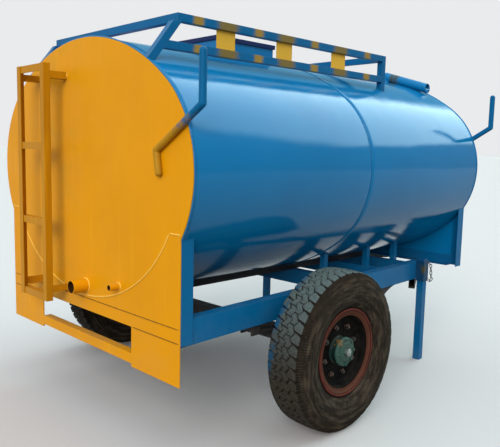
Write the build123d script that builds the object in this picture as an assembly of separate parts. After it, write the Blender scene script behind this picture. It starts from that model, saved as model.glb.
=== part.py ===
from build123d import *
import os
from math import atan2, degrees, hypot, sqrt

# Water tank trailer on two wheels. Millimetres, +X towards the tow eye, +Y left, +Z up.
# In the drawing x is measured from the rear face of the rear end plate and the ground is z = 0.
os.makedirs("parts", exist_ok=True)

# Tank
tank_half_width = 948.0
tank_half_height = 699.0
tank_side_radius = 568.0
tank_center_z = 1426.0
tank_length = 2828.0
shell_wall = 5.0
plate_wall = 6.0
course_seam_x = tank_length / 2

# End plates, skirt and corner posts
base_inset = 85.0
rear_seam_z = 701.0
skirt_bottom_z = 420.0
window_half_width = 473.0
window_bottom_z = 491.0
window_top_z = 632.0
skirt_bar_depth = 50.0
skirt_bar_height = 54.0
skirt_bar_wall = 4.0
front_bottom_z = 674.0
post_leg = 75.0
post_wall = 6.0
rear_post_bottom_z = 619.0

# Chassis rails: channels that draw in a little towards the front
rail_bottom_z = 612.0
rail_height = 128.0
rail_flange = 65.0
rail_web = 6.0
rail_flange_wall = 8.0
rail_set_back = 398.0
rail_draw_in = 117.0
cross_height = 100.0
cross_flange = 50.0
cross_wall = 6.0
cross_front_gap = 60.0
bearer_spread = 276.0
bearer_foot = 50.0
support_spread = 532.0
support_size = 38.0
support_wall = 4.0

# Wheels and axle
axle_x = 974.0
tyre_radius = 450.0
tyre_width = 255.0
tread_half_width = 80.0
buttress_half_width = 110.0
buttress_radius = 424.0
belly_radius = 330.0
bead_toe = 12.0
bead_lip = 1.0
cavity_radius = 424.0
tyre_gap = 48.5
rim_radius = 203.0
rim_wall = 7.0
flange_radius = 245.0
flange_wall = 11.0
bead_half_width = 82.0
disc_offset = 20.0
disc_wall = 10.0
hub_radius = 80.0
hub_flange_radius = 165.0
hub_flange_wall = 12.0
hub_inner = 60.0
hub_outer = 82.0
hub_cap_radius = 62.0
hub_cap_height = 10.0
hub_nut_radius = 24.0
hub_nut_height = 14.0
spindle_radius = 29.0
spindle_clearance = 0.5
spindle_reach = 40.0
axle_size = 80.0
hub_axle_gap = 8.0

# Leaf springs
spring_half_length = 440.0
spring_width = 70.0
leaf_wall = 11.0
leaf_steps = (1.0, 0.80, 0.60, 0.42, 0.26)
spring_rise = 40.0
hanger_length = 66.0
hanger_cheek = 8.0
hanger_depth = 30.0
clamp_plate_wall = 12.0
bolt_radius = 8.0
gusset_x = 1900.0
gusset_length = 175.0
gusset_depth = 78.0
gusset_wall = 10.0

# Parking legs
leg_end_gap = 3.6
leg_size = 50.0
leg_wall = 5.0
leg_top_z = 765.0
leg_clearance = 0.4
sleeve_wall = 6.0
sleeve_bottom_z = 600.0
sleeve_height = 150.0
sleeve_gap = 4.0
pin_radius = 7.0
pin_length = 34.0
pin_height = 682.0
ring_radius = 20.0
ring_wire = 3.0

# Drawbar
arm_height = 80.0
arm_width = 45.0
arm_wall = 5.0
arm_lap = 65.0
arm_inset = 25.0
arm_reach = 1260.0
eye_set = 100.0
eye_radius = 60.0
eye_bore_radius = 20.0
eye_wall = 30.0
eye_half_width = 45.0
eye_lap = 150.0

# Ladder of angle iron
ladder_left_y = 470.0
ladder_right_y = 150.0
ladder_leg = 40.0
ladder_wall = 5.0
ladder_stand_off = 144.0
ladder_bottom_z = 664.0
ladder_top_z = 1996.0
rung_count = 4
bracket_low_gap = 48.0
bracket_high_gap = 80.0

# Rack on the tank
rack_half_width = 584.0
rack_bar = 40.0
rack_rise = 79.0
rack_low_gap = 65.6
rack_rear_x = 184.0
rack_front_x = 2042.0
rack_foot_x = 18.0
rack_post_overrun = 30.0
rack_plate_wall = 6.0
rack_plate_spans = ((461.0, 593.0), (930.0, 1062.0), (1450.0, 1590.0))

# Hatch
hatch_seam_gap = 149.0
hatch_half_length = 245.0
hatch_half_width = 245.0
neck_wall = 5.0
lid_rise = 91.0
lid_wall = 5.0
lid_rim_depth = 25.0
lid_rim_wall = 4.0
lid_clearance = 6.0
hinge_offset = 14.0
hinge_drop = 10.0
hinge_pin_radius = 6.0
hinge_clearance = 0.5
knuckle_radius = 11.0
knuckle_length = 40.0
lug_wall = 8.0
lug_gap = 2.0
hinge_spread = 150.0

# Pipes and hose hooks
outlet_y = -34.0
outlet_z = 774.0
outlet_radius = 38.0
outlet_wall = 5.0
outlet_length = 95.0
drain_y = -359.0
drain_z = 823.0
drain_radius = 18.0
drain_wall = 4.5
drain_length = 60.0
overflow_radius = 36.0
overflow_wall = 5.0
overflow_inset = 60.0
overflow_path = ((-160.0, 2000.0), (-160.0, 2160.0), (-534.0, 2046.0))
overflow_mouth = 40.0
hook_radius = 17.5
hook_sink = 2.5
hook_path = ((-716.0, 1429.0), (-697.0, 1534.0), (-1020.0, 1737.0), (-1020.0, 1958.0))

# Derived places
base_half_width = tank_half_width - base_inset
axle_z = tyre_radius
rail_top_z = rail_bottom_z + rail_height
cross_top_z = rail_bottom_z + rail_flange_wall + cross_height
rail_rear_x = plate_wall + post_wall
rail_front_x = tank_length - rail_set_back
arm_rear_x = rail_front_x - arm_lap
arm_front_x = rail_front_x + arm_reach
eye_x = arm_front_x + eye_set
eye_rear_x = arm_front_x - eye_lap
sleeve_half = leg_size / 2 + leg_clearance + sleeve_wall
leg_x = rail_front_x - leg_end_gap - sleeve_half
rail_rear_y = base_half_width - post_wall
rail_front_y = rail_rear_y - rail_draw_in
arm_rear_y = rail_front_y - arm_inset
tyre_mid_y = rail_rear_y + tyre_gap + tyre_width / 2
rear_reach = -ladder_stand_off
front_reach = eye_x + eye_radius
origin_x = (rear_reach + front_reach) / 2
hatch_center_x = course_seam_x - hatch_seam_gap - neck_wall - hatch_half_length
tank_top_z = tank_center_z + tank_half_height
lid_top_z = tank_top_z + lid_rise
rack_top_z = tank_top_z + rack_rise
neck_top_z = lid_top_z - lid_wall - lid_clearance
side_center = tank_half_width - tank_side_radius
tank_crown_radius = (side_center ** 2 + tank_half_height ** 2 - tank_side_radius ** 2) / (
    2 * (tank_half_height - tank_side_radius)
)
crown_center = tank_crown_radius - tank_half_height
arc_turn = degrees(atan2(crown_center, side_center))
sides = ((1, "left"), (-1, "right"))


def box(x0, x1, y0, y1, z0, z1):
    """Box between two corners, given in any order."""
    size = (abs(x1 - x0), abs(y1 - y0), abs(z1 - z0))
    return Pos((x0 + x1) / 2, (y0 + y1) / 2, (z0 + z1) / 2) * Box(*size)


def rod(start, end, radius):
    """Round bar between two points."""
    direction = Vector(*end) - Vector(*start)
    plane = Plane(origin=start, z_dir=direction)
    return extrude(plane * Circle(radius), amount=direction.length)


def square_bar(start, end, size):
    """Square bar between two points of one plane y = constant."""
    direction = Vector(*end) - Vector(*start)
    plane = Plane(origin=start, x_dir=(0, 1, 0), z_dir=direction)
    return extrude(plane * Rectangle(size, size), amount=direction.length)


def prism(outline, z0, z1):
    """Plan outline raised from z0 to z1."""
    face = make_face(Polyline(*outline, close=True))
    return extrude(Pos(0, 0, z0) * face, amount=z1 - z0)


def oval(inset, x0, x1):
    """Oval cylinder along X about the tank axis: four tangent arcs, drawn in by an inset."""
    side_arc = tank_side_radius - inset
    crown_arc = tank_crown_radius - inset
    right = CenterArc((side_center, 0), side_arc, -arc_turn, 2 * arc_turn)
    top = CenterArc((0, -crown_center), crown_arc, arc_turn, 180 - 2 * arc_turn)
    left = CenterArc((-side_center, 0), side_arc, 180 - arc_turn, 2 * arc_turn)
    bottom = CenterArc((0, crown_center), crown_arc, 180 + arc_turn, 180 - 2 * arc_turn)
    face = make_face(right + top + left + bottom)
    return extrude(Plane.YZ.offset(x0) * (Pos(0, tank_center_z) * face), amount=x1 - x0)


def turned(outline, side):
    """Solid of revolution about the wheel axis; the outline lies in (outward offset, radius)."""
    solid = revolve(outline, Axis.X)
    turn = Rot(0, 0, 90 * side)
    return Pos(axle_x, side * tyre_mid_y, axle_z) * (turn * solid)


def bent_rod(path, x, radius):
    """Round bar through (y, z) points of one plane x = constant, with round corners and ends."""
    points = [(x, y, z) for y, z in path]
    shape = Pos(*points[0]) * Sphere(radius)
    for start, end in zip(points, points[1:]):
        shape = shape + rod(start, end, radius) + Pos(*end) * Sphere(radius)
    return shape


def rail_y(x):
    """Outer face of the left rail at a place along the trailer."""
    share = (x - rail_rear_x) / (rail_front_x - rail_rear_x)
    return rail_rear_y + (rail_front_y - rail_rear_y) * share


def mirrored(shape, side):
    """The shape itself on the left, its mirror image on the right."""
    return shape if side > 0 else mirror(shape, about=Plane.XZ)


def save(name, *shapes):
    """Write one node, moved so that x = 0 is the middle of the trailer's length."""
    solids = []
    for shape in shapes:
        solids.extend(shape.solids())
    moved = [solid.moved(Location((-origin_x, 0, 0))) for solid in solids]
    node = moved[0] if len(moved) == 1 else Compound(children=moved)
    export_step(node, "parts/" + name + ".step")


def both(make):
    """The left piece and its mirror image."""
    left = make()
    return [mirrored(left, side) for side, _ in sides]


tank_solid = oval(0, 0, tank_length)


# Tank shell in two courses
def shell_course(x0, x1):
    return oval(0, x0, x1) - oval(shell_wall, x0 - 1, x1 + 1)


hatch_hole = box(
    hatch_center_x - hatch_half_length, hatch_center_x + hatch_half_length,
    -hatch_half_width, hatch_half_width, tank_center_z, lid_top_z,
)
save("tank_shell_rear", shell_course(plate_wall, course_seam_x) - hatch_hole)
save("tank_shell_front", shell_course(course_seam_x, tank_length - plate_wall))


# End plates: the tank's oval on a straight-sided base
def end_plate(x0, bottom_z):
    face = oval(0, x0, x0 + plate_wall)
    base = box(x0, x0 + plate_wall, -base_half_width, base_half_width, bottom_z, tank_center_z)
    below = box(x0, x0 + plate_wall, -tank_half_width, tank_half_width, 0, bottom_z)
    return face + base - below


def pipe_hole(y, z, radius):
    return rod((-1, y, z), (plate_wall + 1, y, z), radius)


rear_plate = end_plate(0, rear_seam_z)
rear_plate = rear_plate - pipe_hole(outlet_y, outlet_z, outlet_radius - outlet_wall)
rear_plate = rear_plate - pipe_hole(drain_y, drain_z, drain_radius - drain_wall)
save("rear_end_plate", rear_plate)
save("front_end_plate", end_plate(tank_length - plate_wall, front_bottom_z))

# Rear skirt: a strip under the plate, two corner plates and a box bar that closes the window below
save("rear_skirt_strip", box(0, plate_wall, -base_half_width, base_half_width, window_top_z, rear_seam_z))
save("rear_corner_plates", *both(
    lambda: box(0, plate_wall, window_half_width, base_half_width, skirt_bottom_z, window_top_z)
))
bar_bottom_z = window_bottom_z - skirt_bar_height
skirt_bar = box(0, skirt_bar_depth, -window_half_width, window_half_width, bar_bottom_z, window_bottom_z)
skirt_bar = skirt_bar - box(
    skirt_bar_wall, skirt_bar_depth - skirt_bar_wall, -window_half_width - 1, window_half_width + 1,
    bar_bottom_z + skirt_bar_wall, window_bottom_z - skirt_bar_wall,
)
save("rear_skirt_bar", skirt_bar)


# Corner posts of angle iron, coped to the tank
def corner_post(plate_face_x, toward, bottom_z):
    flat_end = plate_face_x + toward * post_wall
    side_end = plate_face_x + toward * post_leg
    flat = box(plate_face_x, flat_end, base_half_width - post_leg, base_half_width, bottom_z, tank_center_z)
    side = box(plate_face_x, side_end, base_half_width - post_wall, base_half_width, bottom_z, tank_center_z)
    return flat + side - tank_solid


save("rear_corner_posts", *both(lambda: corner_post(plate_wall, 1, rear_post_bottom_z)))
save("front_corner_posts", *both(lambda: corner_post(tank_length - plate_wall, -1, front_bottom_z)))

front_face_x = tank_length - plate_wall
angle_half = base_half_width - post_leg
angle_wall = box(
    front_face_x - post_wall, front_face_x, -angle_half, angle_half,
    front_bottom_z, front_bottom_z + post_leg,
)
angle_foot = box(
    front_face_x - post_leg, front_face_x, -angle_half, angle_half,
    front_bottom_z, front_bottom_z + post_wall,
)
save("front_bottom_angle", angle_wall + angle_foot - tank_solid)


# Chassis rails
def rail_strip(inner_depth, z0, z1):
    outline = (
        (rail_rear_x, rail_rear_y), (rail_front_x, rail_front_y),
        (rail_front_x, rail_front_y - inner_depth), (rail_rear_x, rail_rear_y - inner_depth),
    )
    return prism(outline, z0, z1)


def chassis_rail():
    web = rail_strip(rail_web, rail_bottom_z, rail_top_z)
    low = rail_strip(rail_flange, rail_bottom_z, rail_bottom_z + rail_flange_wall)
    high = rail_strip(rail_flange, rail_top_z - rail_flange_wall, rail_top_z)
    return web + low + high


for side, word in sides:
    save("chassis_rail_" + word, mirrored(chassis_rail(), side))


# Cross members between the rails' webs
def cross_member(x0):
    z0 = cross_top_z - cross_height
    z1 = cross_top_z

    def strip(x1, low, high):
        y0 = rail_y(x0) - rail_web
        y1 = rail_y(x1) - rail_web
        return prism(((x0, -y0), (x1, -y1), (x1, y1), (x0, y0)), low, high)

    web = strip(x0 + cross_wall, z0, z1)
    low = strip(x0 + cross_flange, z0, z0 + cross_wall)
    high = strip(x0 + cross_flange, z1 - cross_wall, z1)
    return web + low + high


cross_places = (60.0, 1500.0, 2000.0, rail_front_x - cross_front_gap)
save("cross_members", *[cross_member(x) for x in cross_places])


# Bearers of angle iron along the belly, lying on the cross members and coped to the tank
def tank_bearer():
    x0 = cross_places[0]
    x1 = cross_places[-1] + cross_flange
    wall = box(x0, x1, bearer_spread - post_wall, bearer_spread, cross_top_z, tank_center_z)
    foot = box(x0, x1, bearer_spread - bearer_foot, bearer_spread, cross_top_z, cross_top_z + post_wall)
    return wall + foot - tank_solid


save("tank_bearers", *both(tank_bearer))


# Upright supports of square tube from the cross members to the tank, further out
def tank_support(x0):
    y0 = support_spread - support_size / 2
    y1 = support_spread + support_size / 2
    upright = box(x0, x0 + support_size, y0, y1, cross_top_z, tank_center_z)
    hollow = box(
        x0 + support_wall, x0 + support_size - support_wall, y0 + support_wall, y1 - support_wall,
        cross_top_z - 1, tank_center_z + 1,
    )
    return upright - hollow - tank_solid


save("tank_supports", *[shape for x in cross_places for shape in both(lambda: tank_support(x))])

# Axle beam with its spindles
beam_half = tyre_mid_y - hub_inner - hub_axle_gap
axle = box(
    axle_x - axle_size / 2, axle_x + axle_size / 2, -beam_half, beam_half,
    axle_z - axle_size / 2, axle_z + axle_size / 2,
)
spindle_end = tyre_mid_y + spindle_reach
axle = axle + rod((axle_x, -spindle_end, axle_z), (axle_x, spindle_end, axle_z), spindle_radius)
save("axle_beam", axle)

# Leaf springs: stepped packs of curved leaves between the axle and the rails
spring_y = rail_y(axle_x) - spring_width / 2
pack_base_z = axle_z + axle_size / 2
pack_height = leaf_wall * len(leaf_steps)
arc_radius = (spring_half_length ** 2 + spring_rise ** 2) / (2 * spring_rise)


def spring_leaf(index, depth=leaf_wall):
    # The longest leaf is the uppermost; each one below is shorter.
    level = pack_base_z + pack_height - index * leaf_wall
    half = spring_half_length * leaf_steps[index]
    plane = Plane.XZ.offset(-(spring_y - spring_width / 2))
    ring = Pos(axle_x, level + arc_radius) * (Circle(arc_radius + depth) - Circle(arc_radius))
    trim = Pos(axle_x, level) * Rectangle(2 * half, 4 * spring_rise + 4 * depth)
    return extrude(plane * (ring & trim), amount=-spring_width)


def leaf_spring():
    shape = spring_leaf(0)
    for index in range(1, len(leaf_steps)):
        shape = shape + spring_leaf(index)
    return shape


for side, word in sides:
    save("leaf_spring_" + word, mirrored(leaf_spring(), side))


# Spring hangers: two cheeks and a pad on the top leaf, under the rail at each spring end
def spring_hanger(x):
    end_z = pack_base_z + pack_height + spring_rise
    half = hanger_length / 2
    wide = spring_width / 2 + hanger_cheek
    block = box(x - half, x + half, spring_y - wide, spring_y + wide, end_z - hanger_depth, rail_bottom_z)
    return block - spring_leaf(0, 2 * hanger_depth)


hanger_reach = spring_half_length - hanger_length / 2
hanger_places = (axle_x - hanger_reach, axle_x + hanger_reach)
save("spring_hangers", *[shape for x in hanger_places for shape in both(lambda: spring_hanger(x))])


# Spring clamps: top plate, bottom plate and four bolts about the axle
def spring_clamp():
    top = pack_base_z + pack_height
    bottom = axle_z - axle_size / 2
    half = axle_size / 2 + 2 * bolt_radius + 6
    wide = spring_width / 2 + 2 * bolt_radius + 4
    level = (half ** 2) / (2 * arc_radius)
    upper = box(
        axle_x - half, axle_x + half, spring_y - wide, spring_y + wide, top, top + clamp_plate_wall + level,
    )
    lower = box(
        axle_x - half, axle_x + half, spring_y - wide, spring_y + wide, bottom - clamp_plate_wall, bottom,
    )
    shape = upper - leaf_spring() + lower
    for dx in (-1, 1):
        for dy in (-1, 1):
            x = axle_x + dx * (half - bolt_radius - 2)
            y = spring_y + dy * (wide - bolt_radius - 2)
            low_end = (x, y, bottom - 2 * clamp_plate_wall)
            high_end = (x, y, top + 2 * clamp_plate_wall)
            shape = shape + rod(low_end, high_end, bolt_radius)
    return shape


save("spring_clamps", *both(spring_clamp))


# Gussets below the rails, ahead of the tyres
def rail_gusset():
    y1 = rail_y(gusset_x + gusset_length) - gusset_wall / 2
    edge = (
        Line((gusset_x, rail_bottom_z), (gusset_x, rail_bottom_z - gusset_depth))
        + RadiusArc(
            (gusset_x, rail_bottom_z - gusset_depth), (gusset_x + gusset_length, rail_bottom_z),
            2 * gusset_length,
        )
        + Line((gusset_x + gusset_length, rail_bottom_z), (gusset_x, rail_bottom_z))
    )
    return extrude(Plane.XZ.offset(-y1) * make_face(edge), amount=gusset_wall)


save("rail_gussets", *both(rail_gusset))


# Wheels
def tyre_outline():
    # One side of the section, from the bead seat over the belly to the edge of the tread
    side = (
        (bead_half_width, rim_radius), (bead_half_width, flange_radius + bead_lip),
        (tyre_width / 2, belly_radius), (buttress_half_width, buttress_radius),
        (tread_half_width, tyre_radius),
    )
    other = tuple((-offset, radius) for offset, radius in reversed(side))
    toe = bead_half_width - bead_toe
    cavity = ((-toe, rim_radius), (0, cavity_radius), (toe, rim_radius))
    return make_face(Polyline(*side, *other, *cavity, close=True))


def rim_outline():
    inner = rim_radius - rim_wall
    edge = bead_half_width + flange_wall
    disc_outer = disc_offset + disc_wall
    return make_face(Polyline(
        (-edge, inner), (-edge, flange_radius),
        (-bead_half_width, flange_radius), (-bead_half_width, rim_radius),
        (bead_half_width, rim_radius), (bead_half_width, flange_radius),
        (edge, flange_radius), (edge, inner),
        (disc_outer, inner), (disc_outer, hub_radius), (disc_offset, hub_radius), (disc_offset, inner),
        close=True,
    ))


def hub_outline():
    bore = spindle_radius + spindle_clearance
    bore_end = spindle_reach + hub_axle_gap
    return make_face(Polyline(
        (-hub_inner, bore), (-hub_inner, hub_radius), (disc_offset - hub_flange_wall, hub_radius),
        (disc_offset - hub_flange_wall, hub_flange_radius), (disc_offset, hub_flange_radius),
        (disc_offset, hub_radius), (hub_outer, hub_radius), (hub_outer, hub_cap_radius),
        (hub_outer + hub_cap_height, hub_cap_radius), (hub_outer + hub_cap_height, hub_nut_radius),
        (hub_outer + hub_cap_height + hub_nut_height, hub_nut_radius),
        (hub_outer + hub_cap_height + hub_nut_height, 0), (bore_end, 0), (bore_end, bore),
        close=True,
    ))


for side, word in sides:
    save("tyre_" + word, turned(tyre_outline(), side))
    save("rim_" + word, turned(rim_outline(), side))
    save("hub_" + word, turned(hub_outline(), side))

# Parking legs in square sleeves on the rails' outer faces
leg_y = rail_y(leg_x) + sleeve_gap + sleeve_half


def leg_sleeve():
    x0 = leg_x - sleeve_half
    x1 = leg_x + sleeve_half
    z1 = sleeve_bottom_z + sleeve_height
    outer = box(x0, x1, leg_y - sleeve_half, leg_y + sleeve_half, sleeve_bottom_z, z1)
    back = prism(
        ((x0, rail_y(x0)), (x1, rail_y(x1)), (x1, leg_y), (x0, leg_y)), rail_bottom_z, rail_top_z,
    )
    room = leg_size / 2 + leg_clearance
    hollow = box(leg_x - room, leg_x + room, leg_y - room, leg_y + room, 0, 2 * z1)
    return outer + back - hollow


def parking_leg():
    half = leg_size / 2
    core = half - leg_wall
    tube = box(leg_x - half, leg_x + half, leg_y - half, leg_y + half, 0, leg_top_z)
    return tube - box(leg_x - core, leg_x + core, leg_y - core, leg_y + core, leg_wall, leg_top_z + 1)


def leg_pin():
    face_x = leg_x + sleeve_half
    shank = rod((face_x, leg_y, pin_height), (face_x + pin_length, leg_y, pin_height), pin_radius)
    ring_place = Pos(face_x + pin_length - 2 * ring_wire, pin_height - ring_radius)
    ring = ring_place * (Circle(ring_radius + ring_wire) - Circle(ring_radius - ring_wire))
    return shank + extrude(Plane.XZ.offset(-leg_y) * ring, amount=ring_wire, both=True)


save("leg_sleeves", *both(leg_sleeve))
save("leg_pins", *both(leg_pin))
for side, word in sides:
    save("leg_" + word, mirrored(parking_leg(), side))


# Drawbar: two box-section arms under the rails, meeting at the tow eye
def drawbar_arm():
    run = arm_front_x - arm_rear_x
    drop = arm_rear_y - eye_half_width
    angle = degrees(atan2(-drop, run))
    length = 1.2 * hypot(run, drop)
    level = rail_bottom_z - arm_height / 2
    outer = Box(length, arm_width, arm_height, align=(Align.MIN, Align.CENTER, Align.CENTER))
    inner = Box(
        length + 2, arm_width - 2 * arm_wall, arm_height - 2 * arm_wall,
        align=(Align.MIN, Align.CENTER, Align.CENTER),
    )
    bar = Pos(arm_rear_x, arm_rear_y, level) * (Rot(0, 0, angle) * (outer - Pos(-1, 0, 0) * inner))
    beyond = box(arm_rear_x, front_reach + arm_front_x, -base_half_width, eye_half_width, 0, rail_top_z)
    return bar - beyond


save("drawbar_arms", *both(drawbar_arm))

eye_z = rail_bottom_z - arm_height / 2
eye_low = eye_z - eye_wall / 2
eye_high = eye_z + eye_wall / 2
shank = box(eye_rear_x, eye_x, -eye_half_width, eye_half_width, eye_low, eye_high)
head = rod((eye_x, 0, eye_low), (eye_x, 0, eye_high), eye_radius)
save("tow_eye", shank + head - rod((eye_x, 0, eye_low - 1), (eye_x, 0, eye_high + 1), eye_bore_radius))


# Ladder of angle iron on the rear plate
def ladder_stile(outer_y, inward):
    x0 = -ladder_stand_off
    face = box(x0, x0 + ladder_wall, outer_y, outer_y + inward * ladder_leg, ladder_bottom_z, ladder_top_z)
    flank = box(x0, x0 + ladder_leg, outer_y, outer_y + inward * ladder_wall, ladder_bottom_z, ladder_top_z)
    return face + flank


def ladder_rung(z):
    x0 = -ladder_stand_off + ladder_wall
    y0 = ladder_right_y + ladder_wall
    y1 = ladder_left_y - ladder_wall
    step = box(x0, x0 + ladder_leg, y0, y1, z + ladder_leg - ladder_wall, z + ladder_leg)
    apron = box(x0, x0 + ladder_wall, y0, y1, z, z + ladder_leg)
    return step + apron


def ladder_bracket(outer_y, inward, z):
    x0 = -ladder_stand_off + ladder_leg
    y1 = outer_y + inward * ladder_wall
    return box(x0, 0, outer_y, y1, z, z + ladder_leg) + box(
        x0, 0, outer_y, outer_y + inward * ladder_leg, z, z + ladder_wall,
    )


stiles = ((ladder_left_y, -1), (ladder_right_y, 1))
rung_pitch = (ladder_top_z - ladder_leg - ladder_bottom_z) / (rung_count - 1)
bracket_levels = (ladder_bottom_z + bracket_low_gap, ladder_top_z - bracket_high_gap)
save("ladder_stiles", *[ladder_stile(y, inward) for y, inward in stiles])
save("ladder_rungs", *[ladder_rung(ladder_bottom_z + step * rung_pitch) for step in range(rung_count)])
save("ladder_brackets", *[ladder_bracket(y, inward, z) for y, inward in stiles for z in bracket_levels])

# Rack on the tank: a top frame, four posts, two low rails and flat plates between them
rack_mid_z = rack_top_z - rack_bar / 2
rack_out = rack_half_width + rack_bar / 2
rack_in = rack_half_width - rack_bar / 2
rack_under = rack_top_z - rack_bar
save("rack_top_rails", *both(
    lambda: box(rack_rear_x, rack_front_x, rack_in, rack_out, rack_under, rack_top_z)
))
save("rack_cross_bars", *[
    box(x, x + rack_bar, -rack_in, rack_in, rack_under, rack_top_z)
    for x in (rack_rear_x, rack_front_x - rack_bar)
])
foot_z = tank_center_z - crown_center + sqrt(tank_crown_radius ** 2 - rack_out ** 2)
rack_low_z = foot_z + rack_low_gap + rack_bar


def rear_rack_post(side):
    start = (rack_foot_x - rack_post_overrun, side * rack_half_width, foot_z - rack_bar)
    end = (rack_rear_x + rack_bar, side * rack_half_width, rack_mid_z + rack_post_overrun)
    shape = square_bar(start, end, rack_bar)
    keep_low = foot_z - 2 * rack_bar
    keep = box(plate_wall, rack_rear_x + 2 * rack_bar, -rack_out, rack_out, keep_low, rack_under)
    return (shape & keep) - tank_solid


def front_rack_post(side):
    y = side * rack_half_width
    post = box(
        rack_front_x - rack_bar, rack_front_x, y - rack_bar / 2, y + rack_bar / 2,
        foot_z - rack_bar, rack_under,
    )
    return post - tank_solid


rack_posts = [make(side) for make in (rear_rack_post, front_rack_post) for side, _ in sides]
save("rack_posts", *rack_posts)


def low_rail(side):
    y = side * rack_half_width
    bar = box(
        rack_foot_x, rack_front_x - rack_bar, y - rack_bar / 2, y + rack_bar / 2,
        rack_low_z - rack_bar, rack_low_z,
    )
    for post in rack_posts:
        bar = bar - post
    return max(bar.solids(), key=lambda solid: solid.volume)


save("rack_low_rails", *[low_rail(side) for side, _ in sides])


def rack_plate(x0, x1, side):
    y = side * rack_half_width
    return box(x0, x1, y - rack_plate_wall / 2, y + rack_plate_wall / 2, rack_low_z, rack_under)


save("rack_plates", *[rack_plate(x0, x1, side) for x0, x1 in rack_plate_spans for side, _ in sides])

# Hatch neck, coped to the tank
neck_outer = box(
    hatch_center_x - hatch_half_length - neck_wall, hatch_center_x + hatch_half_length + neck_wall,
    -hatch_half_width - neck_wall, hatch_half_width + neck_wall, tank_center_z, neck_top_z,
)
save("hatch_neck", neck_outer - hatch_hole - tank_solid)

# Hatch lid with a turned-down rim, hinged along its left edge
lid_half_length = hatch_half_length + neck_wall + lid_clearance + lid_rim_wall
lid_half_width = hatch_half_width + neck_wall + lid_clearance + lid_rim_wall
hinge_y = lid_half_width + hinge_offset
hinge_z = lid_top_z - hinge_drop
lid = box(
    hatch_center_x - lid_half_length, hatch_center_x + lid_half_length,
    -lid_half_width, lid_half_width, lid_top_z - lid_rim_depth, lid_top_z,
)
lid = lid - box(
    hatch_center_x - lid_half_length + lid_rim_wall, hatch_center_x + lid_half_length - lid_rim_wall,
    -lid_half_width + lid_rim_wall, lid_half_width - lid_rim_wall,
    lid_top_z - lid_rim_depth - 1, lid_top_z - lid_wall,
)
hinges = []
for place in (-1, 1):
    x = hatch_center_x + place * hinge_spread
    half = knuckle_length / 2
    barrel = rod((x - half, hinge_y, hinge_z), (x + half, hinge_y, hinge_z), knuckle_radius)
    tab = box(x - half, x + half, lid_half_width, hinge_y, hinge_z - 6, hinge_z + 6)
    pin_room = rod(
        (x - half - 1, hinge_y, hinge_z), (x + half + 1, hinge_y, hinge_z),
        hinge_pin_radius + hinge_clearance,
    )
    lid = lid + (barrel + tab - pin_room)
    reach = half + lug_gap + lug_wall
    hinge = rod((x - reach, hinge_y, hinge_z), (x + reach, hinge_y, hinge_z), hinge_pin_radius)
    neck_face = hatch_half_width + neck_wall
    low = lid_top_z - lid_rim_depth - lid_clearance
    for lug_side in (-1, 1):
        x0 = x + lug_side * (half + lug_gap)
        x1 = x0 + lug_side * lug_wall
        hinge = hinge + box(x0, x1, hinge_y - 8, hinge_y + 8, low - 16, hinge_z + 8)
        hinge = hinge + box(x0, x1, neck_face, hinge_y + 8, low - 16, low)
    hinges.append(hinge)
save("hatch_lid", lid)
save("hatch_hinges", *hinges)


# Outlet and drain on the rear plate, open ended
def stub_pipe(y, z, radius, wall, length):
    return rod((-length, y, z), (0, y, z), radius) - rod((-length - 1, y, z), (1, y, z), radius - wall)


save("outlet_pipe", stub_pipe(outlet_y, outlet_z, outlet_radius, outlet_wall, outlet_length))
save("drain_pipe", stub_pipe(drain_y, drain_z, drain_radius, drain_wall, drain_length))

# Overflow pipe at the front of the tank's crown
overflow_x = tank_length - overflow_inset
overflow = bent_rod(overflow_path, overflow_x, overflow_radius)
mouth_y, mouth_z = overflow_path[-1]
cut = box(
    overflow_x - 2 * overflow_radius, overflow_x + 2 * overflow_radius,
    mouth_y - 2 * overflow_radius, mouth_y, mouth_z - 2 * overflow_radius, mouth_z + 2 * overflow_radius,
)
bore = rod(
    (overflow_x, mouth_y - 1, mouth_z),
    (overflow_x, mouth_y + overflow_mouth, mouth_z + overflow_mouth * 0.3),
    overflow_radius - overflow_wall,
)
save("overflow_pipe", max((overflow - cut - bore - tank_solid).solids(), key=lambda solid: solid.volume))

# Hose hooks on the right edge of both end plates
def hose_hook(plate_x0, outward):
    """Hook whose bar sinks a little into the outer face of the plate that starts at plate_x0."""
    face_x = plate_x0 if outward < 0 else plate_x0 + plate_wall
    bar = bent_rod(hook_path, face_x + outward * (hook_radius - hook_sink), hook_radius)
    return bar - box(plate_x0, plate_x0 + plate_wall, -2 * tank_half_width, 0, 0, 2 * tank_center_z)


save("hose_hook_rear", hose_hook(0, -1))
save("hose_hook_front", hose_hook(tank_length - plate_wall, 1))
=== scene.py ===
import bpy
import bmesh
import numpy as np
from mathutils import Matrix, Vector


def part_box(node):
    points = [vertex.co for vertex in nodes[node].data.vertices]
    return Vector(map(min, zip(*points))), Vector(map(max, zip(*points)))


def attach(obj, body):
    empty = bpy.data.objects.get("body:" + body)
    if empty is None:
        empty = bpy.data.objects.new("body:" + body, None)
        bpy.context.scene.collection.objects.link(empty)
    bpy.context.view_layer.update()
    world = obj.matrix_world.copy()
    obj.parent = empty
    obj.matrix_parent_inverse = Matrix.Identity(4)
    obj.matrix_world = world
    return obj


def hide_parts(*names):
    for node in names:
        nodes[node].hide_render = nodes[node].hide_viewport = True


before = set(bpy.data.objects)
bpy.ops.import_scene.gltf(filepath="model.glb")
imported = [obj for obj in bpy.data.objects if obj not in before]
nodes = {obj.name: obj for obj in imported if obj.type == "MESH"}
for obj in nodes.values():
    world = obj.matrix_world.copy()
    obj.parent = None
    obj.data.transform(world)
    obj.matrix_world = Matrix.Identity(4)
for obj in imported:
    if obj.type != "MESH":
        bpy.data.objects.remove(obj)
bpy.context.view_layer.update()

scene = bpy.context.scene
print("frame loaded,", len(nodes), "nodes")


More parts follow.
